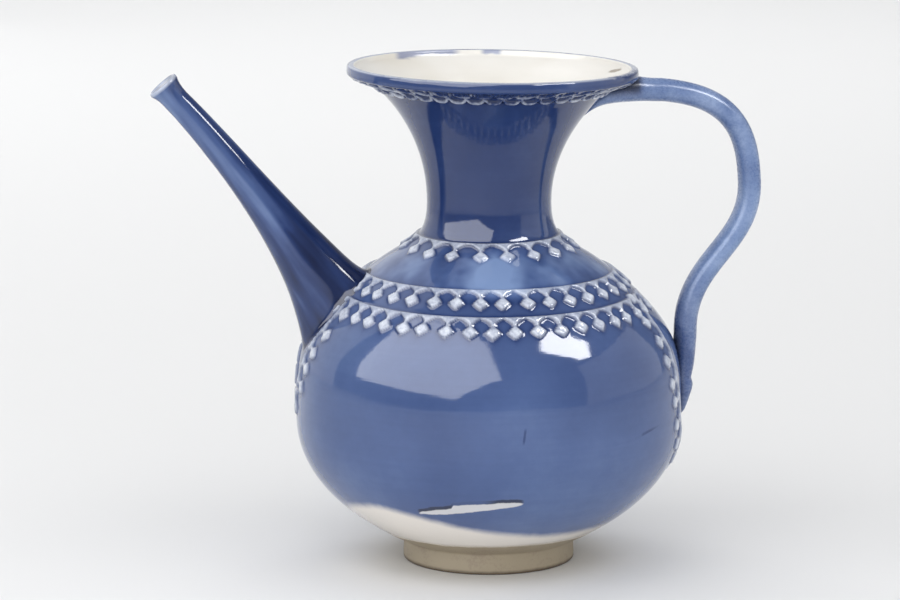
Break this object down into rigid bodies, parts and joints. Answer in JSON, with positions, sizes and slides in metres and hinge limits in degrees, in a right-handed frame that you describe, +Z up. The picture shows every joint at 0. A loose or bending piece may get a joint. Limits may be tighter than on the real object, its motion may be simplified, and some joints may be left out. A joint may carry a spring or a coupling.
{
  "type": "ewer",
  "caption": "Glazed ceramic ewer with a round belly on a foot ring, flaring neck, long straight spout, bowed strap handle and garlands of raised pendants on the shoulder.",
  "frame": {"origin": "middle of the underside of the bounding box, on the surface that the foot ring stands on", "axes": "+Z up along the body's axis, +X towards the handle and -X towards the spout, +Y across"},
  "size_m": [0.233, 0.1476, 0.1908],
  "materials": {
    "blue_glaze": "glossy cobalt blue glaze, pooled darker in the hollows and thin and pale on the relief, over a white fritware body left bare at the foot"
  },
  "bodies": {
    "root": {"ewer": "blue_glaze"}
  },
  "joints": []
}
